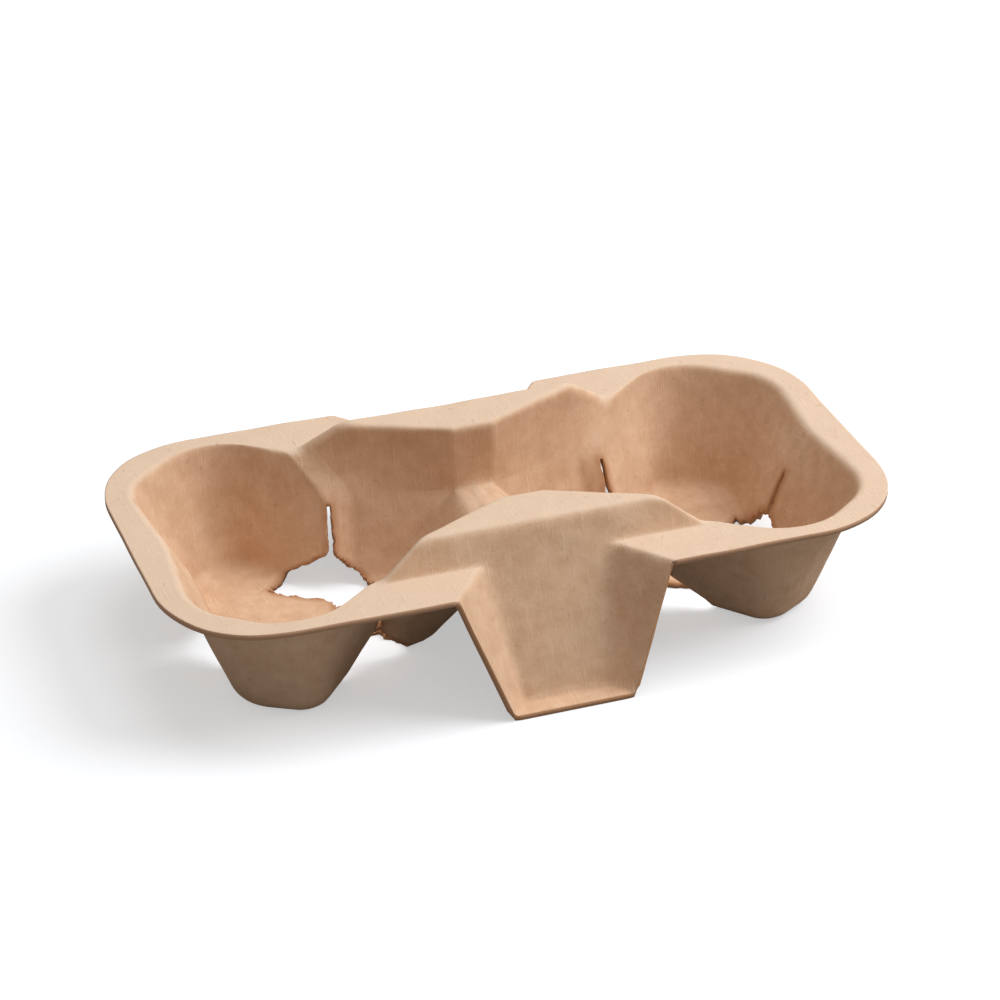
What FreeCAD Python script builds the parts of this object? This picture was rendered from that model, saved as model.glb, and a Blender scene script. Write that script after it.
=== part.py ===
import FreeCAD, Part
import math
import os

from FreeCAD import Vector

# Two-cup carrier tray, pressed from one sheet of moulded pulp fibre.
# Millimetres. X runs along the tray, Y to the back, Z up, origin on the table
# under the middle. The tray is the same left and right, and front and back.

# The sheet and its heights above the table
sheetThickness = 1.6
rimHeight = 36.8
crownHeight = 46.0
saddleHeight = 25.6

# The flat rim, seen from above
rimHalfLength = 107.5
rimHalfWidth = 55.7
rimCornerLength = 33.6
rimCornerWidth = 31.5
rimCornerFullness = 0.6

# The bridge between the wells, which carries the two hand ridges
bridgeFootHalfLength = 47.0
bridgeTopHalfLength = 35.0
bridgeTopHalfWidth = 36.0
bridgeTopRadius = 4.0

# The hand troughs, front and back, that lean out from the bridge to the table
troughLean = 0.485
troughFootHalfWidth = 12.8
troughSpread = 0.17
troughFlare = 0.8
troughFootRadius = 4.0
troughTopRadius = 9.0
troughLipDepth = 6.2

# The saddle that joins the two wells
saddleHalfLength = 6.0
saddleHalfWidth = 20.3

# Each well is a three-footed cup: two outer pockets and an inner pocket, with a
# crease that leans into the well between each pair. The corners of its plan are
# given at the floor, level with the saddle, and level with the crown.
endCreaseFloorX = 81.0
endCreaseSaddleX = 90.0
endCreaseCrownX = 102.0
endCreaseRadius = 20.0

outerCornerFloorX = 85.0
outerCornerFloorY = 31.5
outerCornerCrownX = 103.4
outerCornerCrownY = 35.4
outerCornerFloorRadius = 11.0
outerCornerCrownRadius = 19.0

pocketPeakFloorX = 67.5
pocketPeakFloorY = 41.5
pocketPeakCrownX = 72.8
pocketPeakCrownY = 59.2
pocketPeakFloorRadius = 7.0
pocketPeakCrownRadius = 24.0

creaseFloorX = 44.5
creaseFloorY = 14.0
creaseSaddleX = 42.0
creaseSaddleY = 27.0
creaseCrownX = 57.6
creaseCrownY = 48.5
creaseRadius = 4.0

innerPeakFloorX = 38.5
innerPeakFloorY = 20.0
innerPeakSaddleX = 34.0
innerPeakSaddleY = 27.5
innerPeakCrownX = 49.0
innerPeakCrownY = 39.8
innerPeakRadius = 5.0

innerCornerFloorX = 26.5
innerCornerFloorY = 16.5
innerCornerFloorRadius = 5.0
innerCornerTopRadius = 1.5

# Rounding of the pocket feet and of the lip where the rim turns into a well
footRadius = 4.0
lipRadius = 3.2
pocketDraft = 17.0
roundingSteps = 2
wallSteps = 3

# A tear opens the sheet at the foot of each crease: a hole in the floor that
# narrows up the crease to a slit. Its corners are measured from the crease.
tearOuterX = 18.5
tearOuterY = 7.6
tearFlankX = 9.5
tearFlankY = 15.0
tearInnerFlankX = -8.0
tearInnerFlankY = 10.0
tearInnerX = -11.5
tearInnerY = 2.0
tearNearX = -4.0
tearNearY = -6.5
endTearTip = 4.0
endTearReach = 8.0
endTearHalfWidth = 14.5
tearWallHeight = 3.0
tearThroatHeight = 11.0
tearThroatShare = 0.12
tearThroatWidth = 2.5
tearSlitReach = 8.0
slitHeight = 23.5
slitWidth = 1.2

# How far tools and the slab run past the sheet, so that they cut clean through
overrun = 5.0


def mirrored(shape, normal):
    """The shape on the other side of the upright plane through the origin."""
    return shape.mirror(Vector(0, 0, 0), normal)


def roundedLoop(corners, z, grow):
    """A closed wire through corners (x, y, radius), taken anticlockwise, with its
    sides moved out by grow and each corner rounded by an arc."""
    count = len(corners)
    arcs = []
    for i in range(count):
        x, y, radius = corners[i]
        beforeX, beforeY = corners[i - 1][:2]
        afterX, afterY = corners[(i + 1) % count][:2]
        into = Vector(x - beforeX, y - beforeY, 0).normalize()
        away = Vector(afterX - x, afterY - y, 0).normalize()
        turn = math.atan2(into.cross(away).z, into.dot(away))
        outward = Vector(into.y + away.y, -into.x - away.x, 0).normalize()
        point = Vector(x, y, z) + outward * (grow / math.cos(turn / 2))
        grown = radius + math.copysign(1, turn) * grow
        reach = grown * abs(math.tan(turn / 2))
        sag = grown * (1 / math.cos(turn / 2) - 1)
        middle = point + (away - into).normalize() * sag
        arcs.append((point - into * reach, middle, point + away * reach))
    edges = []
    for i in range(count):
        start, middle, end = arcs[i]
        edges.append(Part.makeLine(arcs[i - 1][2], start))
        edges.append(Part.Arc(start, middle, end).toShape())
    return Part.Wire(edges)


def prism(points, direction):
    """The solid swept by a flat polygon along a direction."""
    return Part.Face(Part.makePolygon(points + points[:1])).extrude(direction)


def between(floorValue, saddleValue, crownValue, z):
    """A size at a height, drawn straight from floor to saddle and on to the crown."""
    if z < saddleHeight:
        share = (z - sheetThickness) / (saddleHeight - sheetThickness)
        return floorValue + share * (saddleValue - floorValue)
    share = (z - saddleHeight) / (crownHeight - saddleHeight)
    return saddleValue + share * (crownValue - saddleValue)


def drafted(floorValue, crownValue, z):
    """A size at a height, on a wall that is straight from floor to crown."""
    share = (z - sheetThickness) / (crownHeight - sheetThickness)
    return floorValue + share * (crownValue - floorValue)


def pocketCorners(z):
    """The plan corners of the back outer pocket at a height: corner, peak, crease."""
    return [
        (drafted(outerCornerFloorX, outerCornerCrownX, z),
         drafted(outerCornerFloorY, outerCornerCrownY, z),
         drafted(outerCornerFloorRadius, outerCornerCrownRadius, z)),
        (drafted(pocketPeakFloorX, pocketPeakCrownX, z),
         drafted(pocketPeakFloorY, pocketPeakCrownY, z),
         drafted(pocketPeakFloorRadius, pocketPeakCrownRadius, z)),
        (between(creaseFloorX, creaseSaddleX, creaseCrownX, z),
         between(creaseFloorY, creaseSaddleY, creaseCrownY, z),
         creaseRadius),
    ]


def innerCorners(z):
    """The plan corners of the back half of the inner pocket: its peak and its end."""
    return [
        (between(innerPeakFloorX, innerPeakSaddleX, innerPeakCrownX, z),
         between(innerPeakFloorY, innerPeakSaddleY, innerPeakCrownY, z),
         innerPeakRadius),
        (between(innerCornerFloorX, saddleHalfLength, saddleHalfLength, z),
         between(innerCornerFloorY, saddleHalfWidth, saddleHalfWidth, z),
         between(innerCornerFloorRadius, innerCornerTopRadius, innerCornerTopRadius, z)),
    ]


def wellLoop(z, grow, corners):
    """The plan of the right-hand well at a height, closed with its mirrored front."""
    end = (between(endCreaseFloorX, endCreaseSaddleX, endCreaseCrownX, z), 0.0, endCreaseRadius)
    front = [(x, -y, radius) for x, y, radius in reversed(corners)]
    return [end] + corners + front


def rounding(radius):
    """Steps (inset, rise) along the arc that joins a floor to a drafted wall, both
    measured from the corner where the floor and the wall would meet."""
    draft = math.radians(pocketDraft)
    bend = math.pi / 2 - draft
    steps = []
    for i in range(roundingSteps + 1):
        angle = bend * i / roundingSteps
        rise = radius * (1 - math.cos(angle))
        inset = radius * (math.tan(bend / 2) - math.sin(angle)) + rise * math.tan(draft)
        steps.append((inset, rise))
    return steps


def wellPlug(under):
    """The space inside the right-hand well, or under its sheet where under is the
    wall, with rounded feet."""
    floor = sheetThickness - under
    levels = [(floor + rise, under - inset) for inset, rise in rounding(footRadius + under)]
    for bottom, top in ((levels[-1][0], saddleHeight), (saddleHeight, crownHeight)):
        levels += [
            (bottom + (top - bottom) * (i + 1) / wallSteps, under) for i in range(wallSteps)
        ]
    wires = [
        roundedLoop(wellLoop(z, grow, pocketCorners(z) + innerCorners(z)), z, grow)
        for z, grow in levels
    ]
    return Part.makeLoft(wires, True, True)


def lipPlug():
    """The flare that rounds the rim into the outer pockets of the right-hand well."""
    draft = math.tan(math.radians(pocketDraft))
    corners = wellLoop(rimHeight, 0, pocketCorners(rimHeight))
    steps = [(inset - rise * draft, -rise) for inset, rise in rounding(lipRadius)]
    (topGrow, topZ), (nextGrow, nextZ) = steps[:2]
    (footGrow, footZ), (beforeGrow, beforeZ) = steps[-1], steps[-2]
    steps[0] = (topGrow + 0.1 * (topGrow - nextGrow), topZ + 0.1 * (topZ - nextZ))
    steps[-1] = (footGrow + 0.3 * (footGrow - beforeGrow), footZ + 0.3 * (footZ - beforeZ))
    wires = [roundedLoop(corners, rimHeight + z, grow) for grow, z in reversed(steps)]
    return Part.makeLoft(wires, True, True)


def panelAt(z):
    """How far out the front of the bridge lies at a height."""
    return bridgeTopHalfWidth + troughLean * (crownHeight - z)


def bridge(under):
    """The raised block between the wells, its top edges rounded."""
    endLean = (bridgeFootHalfLength - bridgeTopHalfLength) / (crownHeight - rimHeight)
    top = crownHeight - under
    footLength = bridgeTopHalfLength + endLean * (crownHeight - saddleHeight)
    footLength -= under * math.hypot(1, endLean)
    topLength = footLength - endLean * (top - saddleHeight)
    footWidth = panelAt(saddleHeight) - under * math.hypot(1, troughLean)
    topWidth = footWidth - troughLean * (top - saddleHeight)
    fromSide = prism([
        Vector(-footLength, -footWidth, saddleHeight),
        Vector(footLength, -footWidth, saddleHeight),
        Vector(topLength, -footWidth, top),
        Vector(-topLength, -footWidth, top),
    ], Vector(0, 2 * footWidth, 0))
    fromEnd = prism([
        Vector(-footLength, -footWidth, saddleHeight),
        Vector(-footLength, footWidth, saddleHeight),
        Vector(-footLength, topWidth, top),
        Vector(-footLength, -topWidth, top),
    ], Vector(2 * footLength, 0, 0))
    block = fromSide.common(fromEnd)
    topEdges = [edge for edge in block.Edges if edge.BoundBox.ZMin > top - 0.001]
    return block.makeFillet(bridgeTopRadius - under, topEdges)


def troughPlug(under):
    """The open space before the front trough, or under its sheet."""
    panelGap = under * math.hypot(1, troughLean)
    flankGap = under * math.sqrt(1 + troughFlare ** 2 + troughSpread ** 2)
    mouthReach = rimHalfWidth + troughLipDepth + 2 * overrun
    wires = []
    for z, radius in (
        (sheetThickness - under, troughFootRadius),
        (rimHeight - under, troughTopRadius),
    ):
        panelY = panelAt(z) - panelGap
        panelHalf = troughFootHalfWidth + troughSpread * (z - sheetThickness)
        panelHalf += flankGap - troughFlare * panelGap
        mouthHalf = panelHalf + troughFlare * (mouthReach - panelY)
        corners = [
            (-panelHalf, -panelY, radius),
            (-mouthHalf, -mouthReach, 1.0),
            (mouthHalf, -mouthReach, 1.0),
            (panelHalf, -panelY, radius),
        ]
        wires.append(roundedLoop(corners, z, 0))
    return Part.makeLoft(wires, True, True)


def saddlePlug(under):
    """The channel that joins the wells over the saddle, or under its sheet."""
    halfWidth = saddleHalfWidth + under
    return Part.makeBox(
        4 * saddleHalfLength,
        2 * halfWidth,
        crownHeight,
        Vector(-2 * saddleHalfLength, -halfWidth, saddleHeight - under),
    )


def trimFace():
    """The edge of the pressed sheet from above: a long rim with full corners, and
    a tapered lip in front of each trough."""
    straightX = rimHalfLength - rimCornerLength
    straightY = rimHalfWidth - rimCornerWidth
    fullX = straightX + rimCornerFullness * rimCornerLength
    fullY = straightY + rimCornerFullness * rimCornerWidth
    lipY = panelAt(sheetThickness) + troughLipDepth
    lipHalf = troughFootHalfWidth + troughFlare * troughLipDepth
    mouthHalf = troughFootHalfWidth + troughSpread * (rimHeight - sheetThickness)
    mouthHalf += troughFlare * (rimHalfWidth - panelAt(rimHeight))
    edges = []
    for side in (1, -1):
        for way in (1, -1):
            corner = Part.BezierCurve()
            corner.setPoles([
                Vector(side * straightX, way * rimHalfWidth, 0),
                Vector(side * fullX, way * rimHalfWidth, 0),
                Vector(side * rimHalfLength, way * fullY, 0),
                Vector(side * rimHalfLength, way * straightY, 0),
            ])
            edges.append(corner.toShape())
        edges.append(Part.makeLine(
            Vector(side * rimHalfLength, straightY, 0),
            Vector(side * rimHalfLength, -straightY, 0),
        ))
        edges.extend(Part.makePolygon([
            Vector(straightX, side * rimHalfWidth, 0),
            Vector(mouthHalf, side * rimHalfWidth, 0),
            Vector(lipHalf, side * lipY, 0),
            Vector(-lipHalf, side * lipY, 0),
            Vector(-mouthHalf, side * rimHalfWidth, 0),
            Vector(-straightX, side * rimHalfWidth, 0),
        ]).Edges)
    return Part.Face(Part.Wire(Part.__sortEdges__(edges)))


def form(under):
    """The block whose top is the top of the sheet, or its underside where under
    is the wall."""
    slab = trimFace().extrude(Vector(0, 0, rimHeight - under + overrun))
    slab.translate(Vector(0, 0, -overrun))
    well = wellPlug(under)
    trough = troughPlug(under)
    return slab.fuse(bridge(under)).cut([
        well,
        mirrored(well, Vector(1, 0, 0)),
        saddlePlug(under),
        trough,
        mirrored(trough, Vector(0, 1, 0)),
    ])


def tear(creaseAt, corners):
    """The tools that tear one crease open: a hole in the floor that is drawn in to
    a throat, and a slit that climbs the crease. The corners are measured from the
    foot of the crease, and creaseAt gives its place at a height."""
    foot = creaseAt(sheetThickness)
    along = (creaseAt(saddleHeight) - foot).normalize() * tearSlitReach
    across = Vector(-along.y, along.x, 0).normalize()

    def loft(sections):
        wires = []
        for place, z, points in sections:
            loop = [place + point + Vector(0, 0, z) for point in points]
            wires.append(Part.makePolygon(loop + loop[:1]))
        return Part.makeLoft(wires, True, True)

    def slot(width):
        side = across * (width / 2)
        return [along + side, side - along, -along - side, along - side]

    hole = loft([
        (foot, -overrun, corners),
        (foot, tearWallHeight, corners),
        (creaseAt(tearThroatHeight), tearThroatHeight, [c * tearThroatShare for c in corners]),
    ])
    slit = loft([
        (foot, sheetThickness, slot(tearThroatWidth)),
        (creaseAt(slitHeight), slitHeight, slot(slitWidth)),
    ])
    return [hole, slit]


def tears():
    """The tears at the three creases of the right-hand well."""

    def backCrease(z):
        return Vector(
            between(creaseFloorX, creaseSaddleX, creaseCrownX, z),
            between(creaseFloorY, creaseSaddleY, creaseCrownY, z),
            0,
        )

    def endCrease(z):
        return Vector(between(endCreaseFloorX, endCreaseSaddleX, endCreaseCrownX, z), 0, 0)

    backTear = tear(backCrease, [
        Vector(tearOuterX, tearOuterY, 0),
        Vector(tearFlankX, tearFlankY, 0),
        Vector(tearInnerFlankX, tearInnerFlankY, 0),
        Vector(tearInnerX, tearInnerY, 0),
        Vector(tearNearX, tearNearY, 0),
    ])
    endTear = tear(endCrease, [
        Vector(endTearTip, 0, 0),
        Vector(0, endTearHalfWidth, 0),
        Vector(-endTearReach, endTearHalfWidth / 2, 0),
        Vector(-endTearReach, -endTearHalfWidth / 2, 0),
        Vector(0, -endTearHalfWidth, 0),
    ])
    return backTear + [mirrored(tool, Vector(0, 1, 0)) for tool in backTear] + endTear


def carrier():
    """The whole tray: one sheet between two forms, with rounded lips, torn open at
    its creases."""
    tools = [lipPlug()] + tears()
    tools += [mirrored(tool, Vector(1, 0, 0)) for tool in tools]
    return form(0).cut(form(sheetThickness)).cut(tools)


os.makedirs("parts", exist_ok=True)
carrier().exportStep("parts/carrier.step")
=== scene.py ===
import math

import bpy
import numpy as np
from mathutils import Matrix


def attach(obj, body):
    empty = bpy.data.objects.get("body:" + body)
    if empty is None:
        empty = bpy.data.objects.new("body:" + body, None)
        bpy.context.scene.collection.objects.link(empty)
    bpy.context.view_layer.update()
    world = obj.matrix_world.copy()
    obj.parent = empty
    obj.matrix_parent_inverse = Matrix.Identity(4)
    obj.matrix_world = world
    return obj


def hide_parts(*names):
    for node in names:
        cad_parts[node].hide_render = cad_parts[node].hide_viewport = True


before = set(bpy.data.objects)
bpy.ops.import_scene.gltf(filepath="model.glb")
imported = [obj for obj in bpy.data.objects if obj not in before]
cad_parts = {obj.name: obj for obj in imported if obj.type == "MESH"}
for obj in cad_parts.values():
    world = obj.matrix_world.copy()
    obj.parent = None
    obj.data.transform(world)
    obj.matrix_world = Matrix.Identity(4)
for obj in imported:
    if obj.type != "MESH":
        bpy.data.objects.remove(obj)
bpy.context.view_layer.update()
print("frame loaded")

mm = 0.001

# Sizes in millimetres. Corners of a well's plan are (x, y, radius) at the
# floor, level with the saddle, level with the rim, and at the crown.
tray = {
    "thickness": 1.6,
    "rimHeight": 36.8,
    "crownHeight": 45.65,
    "saddleHeight": 25.6,
    "saddleHalfLength": 6.0,
    "saddleHalfWidth": 20.3,
    "bridgeFoot": 47.0,
    "bridgeTop": 35.0,
    "bridgeHalfWidth": 36.0,
    "troughLean": 0.485,
    "troughHalfWidth": 12.8,
    "troughSpread": 0.17,
    "troughFlare": 0.8,
    "lipDepth": 6.2,
    "rimHalfLength": 107.1,
    "rimHalfWidth": 55.4,
    "rimCornerLength": 33.6,
    "rimCornerWidth": 31.5,
    "rimCornerFullness": 0.6,
    "footRadius": 4.0,
    "footDraft": 17.0,
    "lipSize": 2.0,
    "floorCentre": 54.0,
    "levels": (1.6, 25.6, 36.8, 46.0),
    "easing": 2.0,
    "endRound": 1.6,         # the bridge's slope into its front
    "ridgeRound": 2.2,       # both into the top of the bridge
    "bridgeFootRound": 0.7,
    "troughRound": 2.5,      # at the foot of the trough, and what is added by the rim
    "troughRoundGain": 3.0,
    "ledgeRound": 0.6,
    "mouthRound": 1.4,
    "mouthSpread": 2.0,
    "edgeBand": 0.45,
    "lipInset": 0.3,
    # size in millimetres, wavelength and phase of the walls' unevenness
    "uneven": ((0.22, 47, 0.4), (0.10, 17, 1.9)),
    "endCrease": ((81.0, 0, 20), (90.0, 0, 20), (96.6, 0, 20), (102.0, 0, 20)),
    "outerCorner": ((85.0, 31.5, 11), (94.9, 33.6, 15.3), (99.6, 34.6, 17.3), (103.4, 35.4, 19)),
    "pocketPeak": ((67.5, 41.5, 7), (70.4, 51.1, 16.2), (71.7, 55.5, 20.5), (72.8, 59.2, 24)),
    "crease": ((44.5, 14, 4), (42, 27, 4), (50.5, 38.8, 4), (57.6, 43.3, 4)),
    "innerPeak": ((38.5, 20, 5), (34, 27.5, 5), (42.2, 35.5, 5), (49, 39.7, 5)),
    "innerCorner": ((26.5, 16.5, 5), (6, 20.3, 0), (6, 20.3, 0), (6, 20.3, 0)),
}

# The tears, in millimetres from the foot of their crease.
tears = {
    "back": ((18.5, 7.6), (9.5, 15.0), (-8.0, 10.0), (-11.5, 2.0), (-4.0, -6.5)),
    "end": ((4.0, 0.0), (0.0, 14.5), (-8.0, 7.2), (-8.0, -7.2), (0.0, -14.5)),
    "wallHeight": 3.0,
    "throatHeight": 11.0,
    "throatShare": 0.12,
    "slitFoot": 2.5,
    "slitTop": 1.2,
    "slitHeight": 23.5,
    "slitReach": 8.0,
    # size in millimetres, wavelength and phase of the ragged edge
    "ragged": ((0.75, 7.1, 0.9), (0.5, 3.3, 2.3), (0.3, 1.6, 4.1)),
}

# Columns round a quarter of a well, from the end crease to the saddle:
# kind of stretch, its corner, where it starts and stops, where it lands on the
# edge of the sheet, and how many columns it has.
columns = [
    ("arc", 1, 0.5, 1.0, 0.0, 0.25, 4),
    ("side", 1, 0.0, 1.0, 0.25, 0.95, 11),
    ("arc", 2, 0.0, 1.0, 0.95, 1.45, 10),
    ("side", 2, 0.0, 1.0, 1.45, 1.6, 4),
    ("arc", 3, 0.0, 1.0, 1.6, 2.1, 12),
    ("side", 3, 0.0, 1.0, 2.1, 2.45, 13),
    ("arc", 4, 0.0, 1.0, 2.45, 2.55, 7),
    ("side", 4, 0.0, 1.0, 2.55, 2.65, 4),
    ("arc", 5, 0.0, 1.0, 2.65, 2.75, 6),
    ("side", 5, 0.0, 0.22, 2.75, 3.0, 9),
    ("side", 5, 0.22, 0.62, 3.0, 4.0, 23),
    ("side", 5, 0.62, 1.0, 4.0, 4.6, 12),
    ("arc", 6, 0.0, 1.0, 4.6, 4.7, 3),
]
saddleColumns = 5
rampColumns = 9
rows = {"floor": 8, "foot": 6, "wall": 24, "waitStart": 12, "waitEnd": 16, "lip": 6,
        "outside": 44}


def softRamp(distance, width):
    # zero below the bend and the distance above it, rounded over the width
    return (distance + np.sqrt(distance**2 + width**2)) / 2


def cornersAt(z):
    # each corner drawn between its levels, with the bends eased into each other
    names = ("outerCorner", "endCrease", "outerCorner", "pocketPeak", "crease", "innerPeak",
             "innerCorner", "innerCorner")
    levels = np.array(tray["levels"])
    values = np.array([tray[name] for name in names], dtype=float)
    values[0, :, 1] *= -1
    values[-1, :, 1] *= -1
    slopes = np.diff(values, axis=1) / np.diff(levels)[None, :, None]
    height = np.asarray(z, dtype=float)[..., None, None]
    result = values[:, 0] + slopes[:, 0] * (height - levels[0])
    easing = np.array([0, 1, 0, 0, 1, 1, 0, 0])[:, None] * np.array([1, 1, 0])
    for bend in (1, 2):
        change = slopes[:, bend] - slopes[:, bend - 1]
        result = result + change * softRamp(height - levels[bend], easing * tray["easing"])
    return result


def wellPoint(z, grow, kind, corner, share):
    # a point round the well: its sides moved out by grow, its corners arcs that
    # touch both sides; share runs along the arc of a corner or the side after it
    points = cornersAt(z)
    place, radius = points[..., :2], points[..., 2]
    side = np.diff(place, axis=-2)
    side /= np.linalg.norm(side, axis=-1, keepdims=True)
    normal = np.stack([side[..., 1], -side[..., 0]], axis=-1)
    angle = np.arctan2(normal[..., 1], normal[..., 0])
    turn = (np.diff(angle, axis=-1) + math.pi) % (2 * math.pi) - math.pi
    outward = normal[..., :-1, :] + normal[..., 1:, :]
    outward /= np.linalg.norm(outward, axis=-1, keepdims=True)
    grow = np.asarray(grow, dtype=float)[..., None]
    tip = place[..., 1:-1, :] + outward * (grow / np.cos(turn / 2))[..., None]
    signed = np.sign(turn) * radius[..., 1:-1] + grow
    reach = (signed * np.tan(turn / 2))[..., None]
    start = tip - side[..., :-1, :] * reach
    end = tip + side[..., 1:, :] * reach
    centre = start - normal[..., :-1, :] * signed[..., None]

    rowsCount, columnsCount = points.shape[:2]
    r, c = np.indices((rowsCount, columnsCount))
    at = np.broadcast_to(corner - 1, (rowsCount, columnsCount))
    after = np.minimum(at + 1, 5)
    share = np.broadcast_to(share, (rowsCount, columnsCount))
    sweep = angle[r, c, at] + share * turn[r, c, at]
    onArc = centre[r, c, at] + signed[r, c, at][..., None] * np.stack(
        [np.cos(sweep), np.sin(sweep)], axis=-1)
    begin = end[r, c, at]
    finish = np.where((at == 5)[..., None], begin * [1, -1], start[r, c, after])
    onSide = begin + share[..., None] * (finish - begin)
    isArc = np.broadcast_to(kind == 0, (rowsCount, columnsCount))[..., None]
    return np.where(isArc, onArc, onSide)


def blendMin(a, b, width):
    # the lower of two heights, rounded where they are within the width
    mix = np.clip(0.5 + 0.5 * (b - a) / width, 0, 1)
    return b + (a - b) * mix - width * mix * (1 - mix)


def blendMax(a, b, width):
    # the higher of two heights, rounded in the same way
    return -blendMin(-a, -b, width)


def topHeight(x, y):
    # the top of the sheet outside the wells: the rim, the bridge that rises from
    # it by its two slopes, and the two troughs that cut down through both
    x, y = np.abs(x), np.abs(y)
    rim, crown, foot = tray["rimHeight"], tray["crownHeight"], tray["thickness"]
    endSlope = (crown - rim) / (tray["bridgeFoot"] - tray["bridgeTop"])
    panel = crown - (y - tray["bridgeHalfWidth"]) / tray["troughLean"]
    block = blendMin(rim + (tray["bridgeFoot"] - x) * endSlope, panel, tray["endRound"])
    block = blendMin(block, crown, tray["ridgeRound"])
    raised = blendMax(block, rim, tray["bridgeFootRound"])
    lean, flare, spread = tray["troughLean"], tray["troughFlare"], tray["troughSpread"]
    panelFoot = tray["bridgeHalfWidth"] + lean * crown
    flank = x - tray["troughHalfWidth"] + spread * foot - flare * (y - panelFoot)
    flank = flank / (spread + flare * lean)
    roundness = tray["troughRound"] + tray["troughRoundGain"] * np.clip(panel / rim, 0, 1)
    trough = blendMax(panel, flank, roundness)
    trough = blendMax(trough, foot, tray["ledgeRound"])
    trough = trough + tray["mouthSpread"] * np.maximum(trough - rim, 0)
    return blendMin(raised, trough, tray["mouthRound"])


def sheetEdge(s):
    # the outline of the sheet over a quarter, from the end (0) round the corner
    # curve (1 to 2) and along the side (3) and the lip (4) to the middle (5)
    halfX, halfY = tray["rimHalfLength"], tray["rimHalfWidth"]
    startY = halfY - tray["rimCornerWidth"]
    endX = halfX - tray["rimCornerLength"]
    full = tray["rimCornerFullness"]
    t = np.clip(s - 1, 0, 1)[..., None]
    poles = np.array([
        (halfX, startY),
        (halfX, startY + full * tray["rimCornerWidth"]),
        (endX + full * tray["rimCornerLength"], halfY),
        (endX, halfY),
    ])
    corner = ((1 - t) ** 3 * poles[0] + 3 * (1 - t) ** 2 * t * poles[1]
              + 3 * (1 - t) * t**2 * poles[2] + t**3 * poles[3])
    lean, foot = tray["troughLean"], tray["thickness"]
    panelFoot = tray["bridgeHalfWidth"] + lean * (tray["crownHeight"] - foot)
    panelRim = tray["bridgeHalfWidth"] + lean * (tray["crownHeight"] - tray["rimHeight"])
    lipY = panelFoot + tray["lipDepth"] - tray["lipInset"]
    lipHalf = tray["troughHalfWidth"] + tray["troughFlare"] * tray["lipDepth"]
    mouthHalf = (tray["troughHalfWidth"] + tray["troughSpread"] * (tray["rimHeight"] - foot)
                 + tray["troughFlare"] * (halfY - panelRim))
    knots = np.array([(halfX, 0), (halfX, startY), (endX, halfY), (mouthHalf, halfY),
                      (lipHalf, lipY), (0, lipY)])
    straight = np.stack([np.interp(s, range(6), knots[:, 0]),
                         np.interp(s, range(6), knots[:, 1])], axis=-1)
    onCorner = ((s > 1) & (s < 2))[..., None]
    return np.where(onCorner, corner, straight)


def wellTop(kind, corner, share):
    # the height at which the wall of each column meets the top of the sheet,
    # halved in on between the saddle and just over the crown
    low = np.full(kind.shape, tray["saddleHeight"] + 2)
    high = np.full(kind.shape, tray["crownHeight"] + 1)
    for _ in range(40):
        middle = (low + high) / 2
        point = wellPoint(middle[None], np.zeros((1, len(kind))), kind, corner, share)[0]
        under = middle < topHeight(point[:, 0], point[:, 1])
        low = np.where(under, middle, low)
        high = np.where(under, high, middle)
    return low


def withHeight(plan, z):
    # points of the plan, each with its height
    return np.concatenate([plan, np.broadcast_to(z, plan.shape[:-1])[..., None]], axis=-1)


def bezier(a, b, c, steps):
    # a curve that leaves a towards b and arrives at c from b
    t = steps[:, None, None]
    return (1 - t) ** 2 * a + 2 * t * (1 - t) * b + t**2 * c


def stretchColumns():
    # the columns of the stretches, as arrays of kind, corner, share and landing
    parts = []
    for stretch, at, start, stop, first, last, count in columns:
        steps = np.arange(count) / count
        parts.append(np.stack([
            np.full(count, 0.0 if stretch == "arc" else 1.0),
            np.full(count, float(at)),
            start + (stop - start) * steps,
            first + (last - first) * steps,
        ]))
    kind, corner, share, landing = np.concatenate(parts, axis=1)
    return kind.astype(int), corner.astype(int), share, landing


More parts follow.
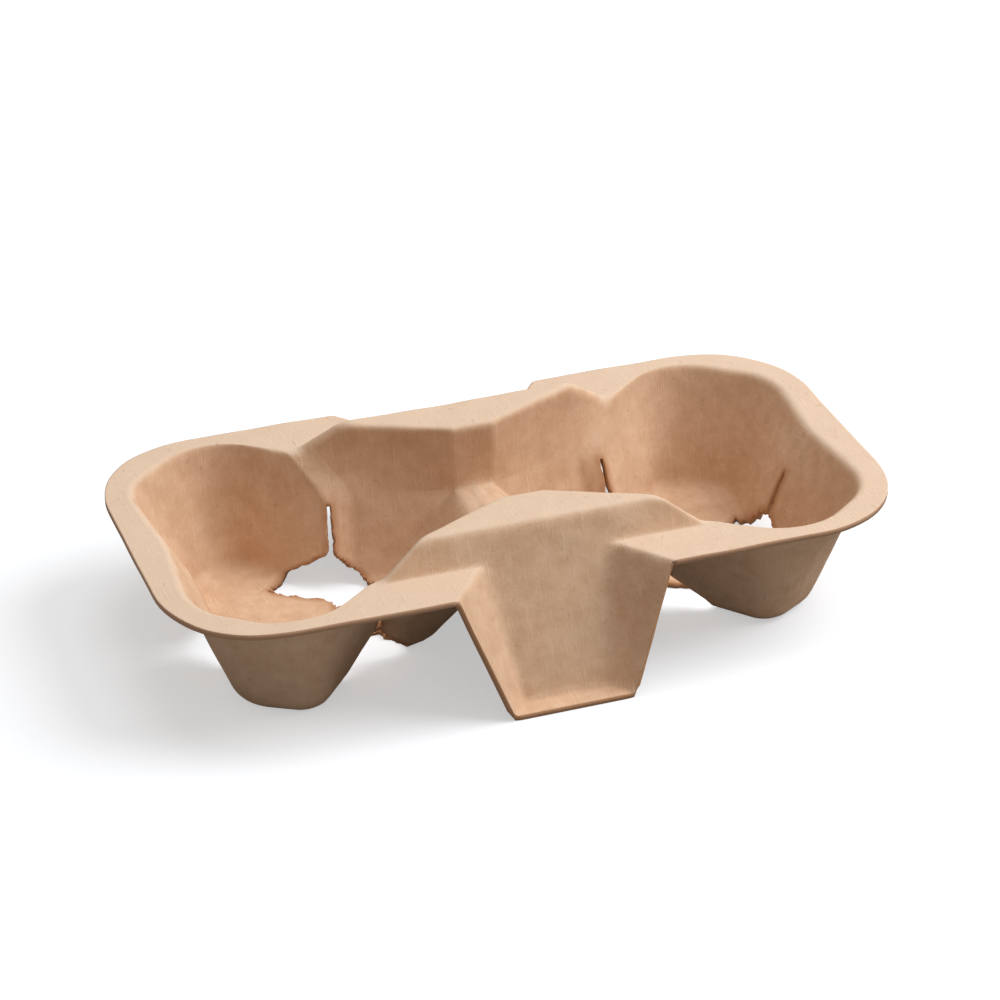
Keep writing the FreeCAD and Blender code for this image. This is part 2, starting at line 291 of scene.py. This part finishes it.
def quarterGrid():
    # rows run from the middle of the floor, round the foot, up the wall, over
    # the lip and out to the edge of the sheet; columns run round the well, and
    # the last of them climb the ramp that ends in the saddle
    kind, corner, share, landing = stretchColumns()
    wellCount = len(kind)
    across = saddleColumns + rampColumns
    rampShare = 0.5 * np.arange(across + 1) / across
    kind = np.append(kind, np.ones(across + 1, int))
    corner = np.append(corner, np.full(across + 1, 6))
    share = np.append(share, rampShare)
    landing = np.append(landing, np.linspace(4.7, 5.0, saddleColumns + 1))

    floorZ, draft = tray["thickness"], math.radians(tray["footDraft"])
    bend = math.pi / 2 - draft
    angle = bend * np.linspace(0, 1, rows["foot"])[:, None]
    rise = tray["footRadius"] * (1 - np.cos(angle)) + 0 * share
    inset = tray["footRadius"] * (math.tan(bend / 2) - np.sin(angle)) + rise * math.tan(draft)
    foot = withHeight(wellPoint(floorZ + rise, -inset, kind, corner, share), floorZ + rise)
    centre = np.array([tray["floorCentre"], 0, floorZ])
    floor = centre + (foot[0] - centre) * np.linspace(0, 1, rows["floor"], False)[:, None, None]

    # wall of the well's own columns; near the saddle its rows wait for the floor
    # of the saddle, which is reached at waitStart and crossed at waitEnd
    waitStart, waitEnd = rows["waitStart"] / rows["wall"], rows["waitEnd"] / rows["wall"]
    saddleZ, halfX, halfY = (tray[name] for name in
                             ("saddleHeight", "saddleHalfLength", "saddleHalfWidth"))
    steps = np.linspace(0, 1, rows["wall"] + 1)[1:, None]
    own = slice(0, wellCount)
    top = wellTop(kind[own], corner[own], share[own])
    low, high = foot[-1, own, 2], top - tray["lipSize"]
    climb = np.clip(steps / waitStart, 0, 1)
    rest = np.clip((steps - waitEnd) / (1 - waitEnd), 0, 1)
    waiting = low + (saddleZ - low) * climb + (high - saddleZ) * rest
    even = low + (high - low) * steps
    near = np.clip((np.arange(wellCount) - wellCount + 26) / 20, 0, 1)
    near = near**2 * (3 - 2 * near)
    wallZ = even + (waiting - even) * near
    wall = withHeight(wellPoint(wallZ, 0 * wallZ, kind[own], corner[own], share[own]), wallZ)

    # ramp, saddle floor and side of the saddle
    ramp = slice(wellCount, None)
    rampZ = foot[-1, ramp, 2] + (saddleZ - foot[-1, ramp, 2]) * climb
    rising = withHeight(wellPoint(rampZ, 0 * rampZ, kind[ramp], corner[ramp], share[ramp]), rampZ)
    side = np.minimum(np.arange(across + 1) / saddleColumns, 1)
    inward = np.maximum(np.arange(across + 1) - saddleColumns, 0) / rampColumns
    target = np.stack([halfX * (1 - side), halfY * (1 - inward), saddleZ + 0 * side], axis=-1)
    crossing = np.clip((steps - waitStart) / (waitEnd - waitStart), 0, 1)[..., None]
    rampWall = rising + (target - rising) * crossing
    sideTop = topHeight(target[:, 0], target[:, 1])
    rampWall[..., 2] += (sideTop - tray["lipSize"] - saddleZ) * rest
    wall = np.concatenate([wall, rampWall], axis=1)
    inner = slice(wellCount + 1, None)
    for _ in range(2):
        wall[1:-1, inner] = (wall[:-2, inner] + 2 * wall[1:-1, inner] + wall[2:, inner]) / 4
    wall[rows["waitEnd"] - 1:, wellCount + saddleColumns:, 0] = 0

    # lip and everything outside it, for the columns that go on past the saddle
    count = wellCount + saddleColumns + 1
    outer = slice(0, count)
    edge = np.concatenate([
        wellPoint(top[None], 0 * top[None], kind[own], corner[own], share[own])[0],
        target[:saddleColumns + 1, :2],
    ])
    landed = sheetEdge(landing)
    reach = np.linalg.norm(landed - edge, axis=1, keepdims=True)
    beside = edge + (landed - edge) / reach * tray["lipSize"]
    lipEdge = withHeight(edge, topHeight(edge[:, 0], edge[:, 1]))
    lipEnd = withHeight(beside, topHeight(beside[:, 0], beside[:, 1]))
    lip = bezier(wall[-1, outer], lipEdge, lipEnd, np.linspace(0, 1, rows["lip"] + 1)[1:])
    length = np.linalg.norm(landed - beside, axis=1)
    out = np.linspace(0, 1, rows["outside"])[1:, None] * (1 - tray["edgeBand"] / length)
    out = np.concatenate([out, np.ones((1, count))])[..., None]
    plan = beside + (landed - beside) * out
    outside = withHeight(plan, topHeight(plan[..., 0], plan[..., 1]))

    inner = np.concatenate([floor, foot, wall])
    beyond = np.full((len(lip) + len(outside), len(kind), 3), np.nan)
    beyond[:, outer] = np.concatenate([lip, outside])
    grid = np.concatenate([inner, beyond])
    stop = rows["floor"] + rows["foot"] + rows["waitEnd"]
    grid[stop:, count:] = np.nan
    return grid


def joined(points, faces, grain=0.01):
    # points closer than the grain become one, and faces that lose a corner go
    key = np.round(points / grain).astype(int)
    _, first, index = np.unique(key, axis=0, return_index=True, return_inverse=True)
    faces = index.reshape(-1)[faces]
    keep = ((faces[:, 0] != faces[:, 1]) & (faces[:, 1] != faces[:, 2])
            & (faces[:, 2] != faces[:, 0]))
    return points[first], faces[keep]


def wholeSheet():
    # the quarter and its three mirror images, as triangles that face up
    grid = quarterGrid()
    rowCount, columnCount = grid.shape[:2]
    number = np.arange(rowCount * columnCount).reshape(rowCount, columnCount)
    a, b, c, d = number[:-1, :-1], number[1:, :-1], number[1:, 1:], number[:-1, 1:]
    quads = np.stack([a, b, c, d], axis=-1).reshape(-1, 4)
    points = grid.reshape(-1, 3)
    quads = quads[~np.isnan(points[quads]).any(axis=(1, 2))]
    triangles = np.concatenate([quads[:, [0, 1, 2]], quads[:, [0, 2, 3]]])
    allPoints, allFaces = [], []
    for x in (1, -1):
        for y in (1, -1):
            allFaces.append(triangles[:, ::x * y] + len(points) * len(allPoints))
            allPoints.append(points * [x, y, 1])
    points, faces = np.concatenate(allPoints), np.concatenate(allFaces)
    points = np.nan_to_num(points, nan=1000.0)
    return joined(points, faces)


def vertexNormals(points, faces):
    # the mean direction of the triangles round each point, weighted by area
    corners = points[faces]
    facing = np.cross(corners[:, 1] - corners[:, 0], corners[:, 2] - corners[:, 0])
    normals = np.zeros_like(points)
    for i in range(3):
        np.add.at(normals, faces[:, i], facing)
    return normals / np.maximum(np.linalg.norm(normals, axis=1, keepdims=True), 1e-9)


def waves(points, length, phase):
    # a smooth uneven value from -1 to 1 that repeats nowhere within the tray
    x, y, z = (points * (2 * math.pi / length)).T
    first = np.sin(x + 1.7 * np.sin(0.61 * y + phase) + 0.8 * z)
    second = np.sin(1.13 * y - 1.3 * np.sin(0.53 * x - phase) - 0.7 * z + 2.1)
    third = np.sin(0.71 * x - 0.83 * y + 1.37 * z + 3.0 * phase)
    return (first + second + third) / 3


def waveSum(points, layers):
    # the waves of several sizes, lengths and phases, added up
    return sum(size * waves(points, length, phase) for size, length, phase in layers)


def creaseAt(name, z):
    # the plan position of a crease, drawn straight between its levels
    levels = np.array(tray["levels"])
    place = np.array(tray[name], dtype=float)
    return np.interp(z, levels, place[:, 0]), np.interp(z, levels, place[:, 1])


def tearDistance(points):
    # how far a point is from the nearest torn edge, below zero inside a tear: a
    # hole about the foot of the crease that shrinks with height, or the slit
    x, y, z = np.abs(points[:, 0]), np.abs(points[:, 1]), points[:, 2]
    nearest = np.full(len(points), 99.0)
    for name, corners in (("crease", tears["back"]), ("endCrease", tears["end"])):
        if name == "endCrease":
            y = points[:, 1]
        height = np.maximum(z, tray["thickness"])
        atX, atY = creaseAt(name, np.where(z < tears["wallHeight"], tray["thickness"], height))
        offset = np.stack([x - atX, y - atY], axis=-1)
        shrink = 1 - (z - tears["wallHeight"]) / (tears["throatHeight"] - tears["wallHeight"])
        size = np.clip(tears["throatShare"] + (1 - tears["throatShare"]) * shrink, 0.05, 1)
        hole = np.full(len(points), -99.0)
        loop = np.array(corners)
        for start, end in zip(loop, np.roll(loop, -1, axis=0)):
            along = (end - start) / np.linalg.norm(end - start)
            across = np.array([along[1], -along[0]])
            hole = np.maximum(hole, offset @ across - size * (start @ across))
        hole = np.maximum(hole, z - tears["throatHeight"])
        low, high = creaseAt(name, tray["thickness"]), creaseAt(name, tray["saddleHeight"])
        way = np.array([high[0] - low[0], high[1] - low[1]])
        way = way / np.linalg.norm(way)
        rise = (z - tray["thickness"]) / (tears["slitHeight"] - tray["thickness"])
        width = tears["slitFoot"] + (tears["slitTop"] - tears["slitFoot"]) * rise
        slit = np.abs(offset @ np.array([way[1], -way[0]])) - width / 2
        slit = np.maximum(slit, np.abs(offset @ way) - tears["slitReach"])
        slit = np.maximum(slit, z - tears["slitHeight"])
        nearest = np.minimum(nearest, np.minimum(hole, slit))
    return nearest


def clipped(points, faces, value):
    # the part of the sheet where the value is above zero: triangles that cross
    # zero are cut along it
    inside = value > 0
    count = inside[faces].sum(axis=1)
    whole = faces[count == 3]
    cut = []
    for wanted, keepFirst in ((1, True), (2, False)):
        some = faces[count == wanted]
        odd = np.argmax(inside[some] == keepFirst, axis=1)
        turned = some[np.arange(len(some))[:, None], (odd[:, None] + [0, 1, 2]) % 3]
        cut.append(turned)
    newPoints = [points]
    made = len(points)

    def crossing(a, b):
        nonlocal made
        share = (value[a] / (value[a] - value[b]))[:, None]
        newPoints.append(points[a] + (points[b] - points[a]) * share)
        made += len(a)
        return np.arange(made - len(a), made)

    a, b, c = cut[0].T
    single = np.stack([a, crossing(a, b), crossing(a, c)], axis=-1)
    a, b, c = cut[1].T
    ab, ac = crossing(b, a), crossing(c, a)
    double = np.concatenate([np.stack([ab, b, c], axis=-1), np.stack([ab, c, ac], axis=-1)])
    points = np.concatenate(newPoints)
    faces = np.concatenate([whole, single, double])
    return joined(points, faces, 0.02)


def buildTray():
    # the top of the sheet is pushed along its normals by the uneven waves, cut
    # where the distance to a tear, made ragged, is zero, and given its thickness
    points, faces = wholeSheet()
    normals = vertexNormals(points, faces)
    free = np.clip((points[:, 2] - 2) / 8, 0, 1)
    uneven = waveSum(points, tray["uneven"])
    points = points + normals * (uneven * free)[:, None]
    distance = tearDistance(points)
    ragged = waveSum(points, tears["ragged"])
    distance = distance + ragged * np.clip(2 - points[:, 2] / 12, 0.15, 1)
    points, faces = clipped(points, faces, distance)
    used = np.unique(faces)
    index = np.zeros(len(points), int)
    index[used] = np.arange(len(used))
    points, faces = points[used], index[faces]

    mesh = bpy.data.meshes.new("pulpTray")
    mesh.from_pydata((points * mm).tolist(), [], faces.tolist())
    mesh.polygons.foreach_set("use_smooth", np.ones(len(faces), dtype=bool))
    normals = vertexNormals(points, faces)
    # painted light: high parts that face up are marked to be painted paler, as the light from
    # above makes them
    level = np.clip((normals[:, 2] - 0.55) / 0.4, 0, 1) * np.clip((points[:, 2] - 22) / 12, 0, 1)
    for name, values in (("tornEdge", tearDistance(points)), ("paintedTopLight", level)):
        mesh.attributes.new(name, "FLOAT", "POINT")
        mesh.attributes[name].data.foreach_set("value", values.astype(np.float32))
    mesh.update()
    piece = bpy.data.objects.new("pulpTray", mesh)
    bpy.context.scene.collection.objects.link(piece)
    wall = piece.modifiers.new("sheetThickness", "SOLIDIFY")
    wall.thickness = tray["thickness"] * mm
    wall.offset = -1
    wall.material_offset_rim = 1
    print("tray built:", len(points), "points,", len(faces), "triangles")
    return piece


class Value:
    # a socket of a material, on which sums can be written

    def __init__(self, tree, socket):
        self.tree, self.socket = tree, socket

    def math(self, operation, other=None, third=None):
        given = [self] + [value for value in (other, third) if value is not None]
        return self.tree.node("ShaderNodeMath", {"operation": operation}, dict(enumerate(given)))

    def __add__(self, other):
        return self.math("ADD", other)

    def __sub__(self, other):
        return self.math("SUBTRACT", other)

    def __mul__(self, other):
        return self.math("MULTIPLY", other)

    def __rsub__(self, other):
        return self.math("MULTIPLY_ADD", -1.0, other)

    __radd__ = __add__
    __rmul__ = __mul__

    def clamp(self, low=0.0, high=1.0):
        return self.math("MAXIMUM", low).math("MINIMUM", high)


class Material:
    # a node material; node() adds any node, with its settings and its sockets

    def __init__(self, name):
        self.material = bpy.data.materials.new(name)
        self.material.use_nodes = True
        self.nodes = self.material.node_tree.nodes
        self.links = self.material.node_tree.links
        self.nodes.clear()

    def node(self, kind, settings=None, sockets=None, output=0):
        made = self.nodes.new(kind)
        for name, value in (settings or {}).items():
            setattr(made, name, value)
        for name, value in (sockets or {}).items():
            socket = made.inputs[name]
            if isinstance(value, Value):
                self.links.new(value.socket, socket)
            else:
                socket.default_value = value
        return Value(self, made.outputs[output])

    def mix(self, share, first, second):
        # two colours mixed: the first, and more of the second as the share grows
        return self.node("ShaderNodeMix", {"data_type": "RGBA"},
                         {0: share, 6: first, 7: second}, 2)

    def finish(self, shader):
        end = self.nodes.new("ShaderNodeOutputMaterial")
        self.links.new(shader.socket, end.inputs["Surface"])
        return self.material


def linear(red, green, blue):
    # a colour as it is seen, 0 to 255, as the light that it reflects
    return tuple((value / 255 / 12.92 if value <= 10 else ((value / 255 + 0.055) / 1.055) ** 2.4)
                 for value in (red, green, blue)) + (1.0,)


pulp = {
    "colour": (220, 185, 154),
    "darkPatch": (196, 156, 124),
    "palePatch": (231, 200, 171),
    # painted light: the paler colour painted on high parts of the sheet that face up
    "topLightPaintColour": (226, 205, 184),
    "fleck": (158, 118, 88),
    "fibre": (238, 216, 192),
    # painted shade: the browner colour painted on the cut faces and near the tears
    "edgeShadePaintColour": (170, 112, 66),
    "roughness": 0.92,
    "cloudScale": 55,        # noise scales, in repeats to the metre
    "blotchScale": 230,
    "grainScale": 1100,
    "fibreScale": 900,
    "fleckScale": 620,
    "topLightPaintShare": 0.75,        # how much of each colour is mixed in at most
    "fibreShare": 0.14,
    "fleckShare": 0.2,
    # painted shade: how much the cut faces, and the sheet near a tear, are browned
    "cutFaceShadeShare": 0.6,
    "tearShadeShare": 0.7,
    "bumpStrength": 0.35,
    "bumpDepth": 0.0006,
}


def pulpMaterial(name, torn):
    # dark and pale patches by two sizes of noise, painted light that makes the sheet paler where
    # it is level and high, then fibres, flecks and grain, and painted shade that makes it browner
    # towards a tear or all over a cut face
    made = Material(name)
    place = made.node("ShaderNodeTexCoord", output=3)

    def noise(scale, detail, roughness=0.5, stretch=(1, 1, 1), turn=(0, 0, 0)):
        at = made.node("ShaderNodeMapping", {}, {
            "Vector": place, "Scale": stretch, "Rotation": turn})
        return made.node("ShaderNodeTexNoise", {"noise_dimensions": "3D"}, {
            "Vector": at, "Scale": scale, "Detail": detail, "Roughness": roughness})

    cloudy = noise(pulp["cloudScale"], 2.0)
    blotchy = noise(pulp["blotchScale"], 3.0, 0.6)
    grain = noise(pulp["grainScale"], 3.0, 0.6)
    patch = (0.5 + (cloudy - 0.5) * 1.5 + (blotchy - 0.5) * 2.0).clamp()
    colour = made.mix(patch, linear(*pulp["darkPatch"]), linear(*pulp["palePatch"]))
    colour = made.mix(0.5, colour, linear(*pulp["colour"]))
    # painted light: paler where the sheet is high and faces up
    level = made.node("ShaderNodeAttribute", {"attribute_name": "paintedTopLight"}, {}, 2)
    colour = made.mix(level * pulp["topLightPaintShare"], colour, linear(*pulp["topLightPaintColour"]))
    # fibres lie in every direction: long thin noise, turned three ways
    fibres = None
    for turn in ((0.2, 0.3, 0.4), (1.3, -0.5, 1.5), (-0.7, 1.1, 2.5)):
        strand = noise(pulp["fibreScale"], 1.0, 0.5, (1, 0.12, 0.12), turn)
        strand = ((strand - 0.64) * 9.0).clamp()
        fibres = strand if fibres is None else fibres.math("MAXIMUM", strand)
    colour = made.mix(fibres * pulp["fibreShare"], colour, linear(*pulp["fibre"]))
    flecks = noise(pulp["fleckScale"], 1.0, 0.5, (1, 0.4, 1), (0.4, 0.9, 0.2))
    flecks = ((flecks - 0.68) * 12.0).clamp()
    colour = made.mix(flecks * pulp["fleckShare"], colour, linear(*pulp["fleck"]))
    colour = made.mix((grain - 0.5) * 0.30 + 0.1, colour, linear(*pulp["darkPatch"]))
    # painted shade: the cut faces are browned all over, and the sheet is browned towards a tear
    if torn:
        colour = made.mix(pulp["cutFaceShadeShare"], colour, linear(*pulp["edgeShadePaintColour"]))
    else:
        near = made.node("ShaderNodeAttribute", {"attribute_name": "tornEdge"}, {}, 2)
        near = (1.0 - near * 0.45 + (blotchy - 0.5) * 1.5).clamp()
        colour = made.mix(near * pulp["tearShadeShare"], colour, linear(*pulp["edgeShadePaintColour"]))
    relief = blotchy * 0.5 + grain * 0.35 + fibres * 0.15
    bump = made.node("ShaderNodeBump", {}, {
        "Strength": pulp["bumpStrength"], "Distance": pulp["bumpDepth"], "Height": relief})
    shader = made.node("ShaderNodeBsdfPrincipled", {}, {
        "Base Color": colour, "Roughness": pulp["roughness"], "Normal": bump,
        "Specular IOR Level": 0.15})
    return made.finish(shader)


studio = {
    "floorSeen": (0.58, 0.61, 0.65),
    "floorGlow": 0.48,
    "floorBounce": 0.30,
    "worldColour": (1.0, 0.92, 0.84, 1.0),
    "worldStrength": 0.34,
    "lamps": (
        # name, direction it comes from (azimuth from the back, elevation), metres
        # away, size in metres, watts
        ("keyLamp", 100, 48, 1.6, 1.1, 20.5),
        ("topLamp", 20, 78, 1.6, 0.9, 6.0),
    ),
}


def buildFloor():
    # a wide sheet under the tray; seen by the camera, or in a gloss or through
    # glass, it is near white and glows, and it keeps the tray's shadow
    half = 6.0
    mesh = bpy.data.meshes.new("studioFloor")
    mesh.from_pydata([(-half, -half, 0), (half, -half, 0), (half, half, 0), (-half, half, 0)],
                     [], [(0, 1, 2, 3)])
    floor = bpy.data.objects.new("studioFloor", mesh)
    bpy.context.scene.collection.objects.link(floor)
    made = Material("studioFloorPaint")
    seen = made.node("ShaderNodeLightPath").math(
        "MAXIMUM", made.node("ShaderNodeLightPath", output=3)).math(
        "MAXIMUM", made.node("ShaderNodeLightPath", output=6))
    bounce, glow = (studio["floorBounce"],) * 3 + (1.0,), (studio["floorGlow"],) * 3 + (1.0,)
    colour = made.mix(seen, bounce, studio["floorSeen"] + (1.0,))
    shader = made.node("ShaderNodeBsdfPrincipled", {}, {
        "Base Color": colour, "Roughness": 1.0, "Specular IOR Level": 0.0,
        "Emission Color": made.mix(seen, (0.0, 0.0, 0.0, 1.0), glow), "Emission Strength": 1.0})
    mesh.materials.append(made.finish(shader))


def buildLight():
    # the world is white where it is seen and a warm fill where it lights; each
    # lamp stands on its azimuth and elevation and faces the origin
    world = bpy.data.worlds.new("studio")
    bpy.context.scene.world = world
    world.use_nodes = True
    nodes, links = world.node_tree.nodes, world.node_tree.links
    nodes.clear()
    path = nodes.new("ShaderNodeLightPath")
    lighting = nodes.new("ShaderNodeBackground")
    lighting.inputs["Color"].default_value = studio["worldColour"]
    lighting.inputs["Strength"].default_value = studio["worldStrength"]
    seen = nodes.new("ShaderNodeBackground")
    seen.inputs["Color"].default_value = (1, 1, 1, 1)
    seen.inputs["Strength"].default_value = 1.0
    mix = nodes.new("ShaderNodeMixShader")
    end = nodes.new("ShaderNodeOutputWorld")
    links.new(path.outputs["Is Camera Ray"], mix.inputs[0])
    links.new(lighting.outputs[0], mix.inputs[1])
    links.new(seen.outputs[0], mix.inputs[2])
    links.new(mix.outputs[0], end.inputs["Surface"])
    for name, azimuth, elevation, away, size, power in studio["lamps"]:
        lamp = bpy.data.lights.new(name, "AREA")
        lamp.shape = "DISK"
        lamp.size = size
        lamp.energy = power
        holder = bpy.data.objects.new(name, lamp)
        a, e = math.radians(azimuth), math.radians(elevation)
        holder.location = (away * math.sin(a) * math.cos(e), away * math.cos(a) * math.cos(e),
                           away * math.sin(e))
        holder.rotation_euler = (math.pi / 2 - e, 0, math.pi - a)
        bpy.context.scene.collection.objects.link(holder)


view = {
    "azimuth": 19.89,       # degrees that the camera stands to the left of the front
    "elevation": 30.04,
    "distance": 1001.7,     # millimetres from the tray's origin, along the view
    "right": 0.81,          # millimetres that the camera is moved across its view
    "up": 27.6,
    "lens": 124.8,
}


def buildCamera():
    # the camera looks along its azimuth and elevation at the origin, and is then
    # moved across its view
    data = bpy.data.cameras.new("photoCamera")
    data.lens = view["lens"]
    data.sensor_width = 36.0
    data.clip_end = 50.0
    camera = bpy.data.objects.new("photoCamera", data)
    a, e = math.radians(view["azimuth"]), math.radians(view["elevation"])
    right = np.array([math.cos(a), -math.sin(a), 0])
    look = np.array([math.sin(a) * math.cos(e), math.cos(a) * math.cos(e), -math.sin(e)])
    up = np.cross(right, look)
    place = view["right"] * right + view["up"] * up - view["distance"] * look
    camera.location = place * mm
    camera.rotation_euler = (math.pi / 2 - e, 0, -a)
    bpy.context.scene.collection.objects.link(camera)
    bpy.context.scene.camera = camera


carrier = buildTray()
carrier.data.materials.append(pulpMaterial("mouldedPulp", False))
# the cut faces get the material with painted shade on them
carrier.data.materials.append(pulpMaterial("pulpWithPaintedEdgeShade", True))
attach(carrier, "root")
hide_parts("carrier")
print("pulp applied")

buildFloor()
buildLight()
buildCamera()
bpy.context.scene.view_settings.view_transform = "Standard"
print("studio set")
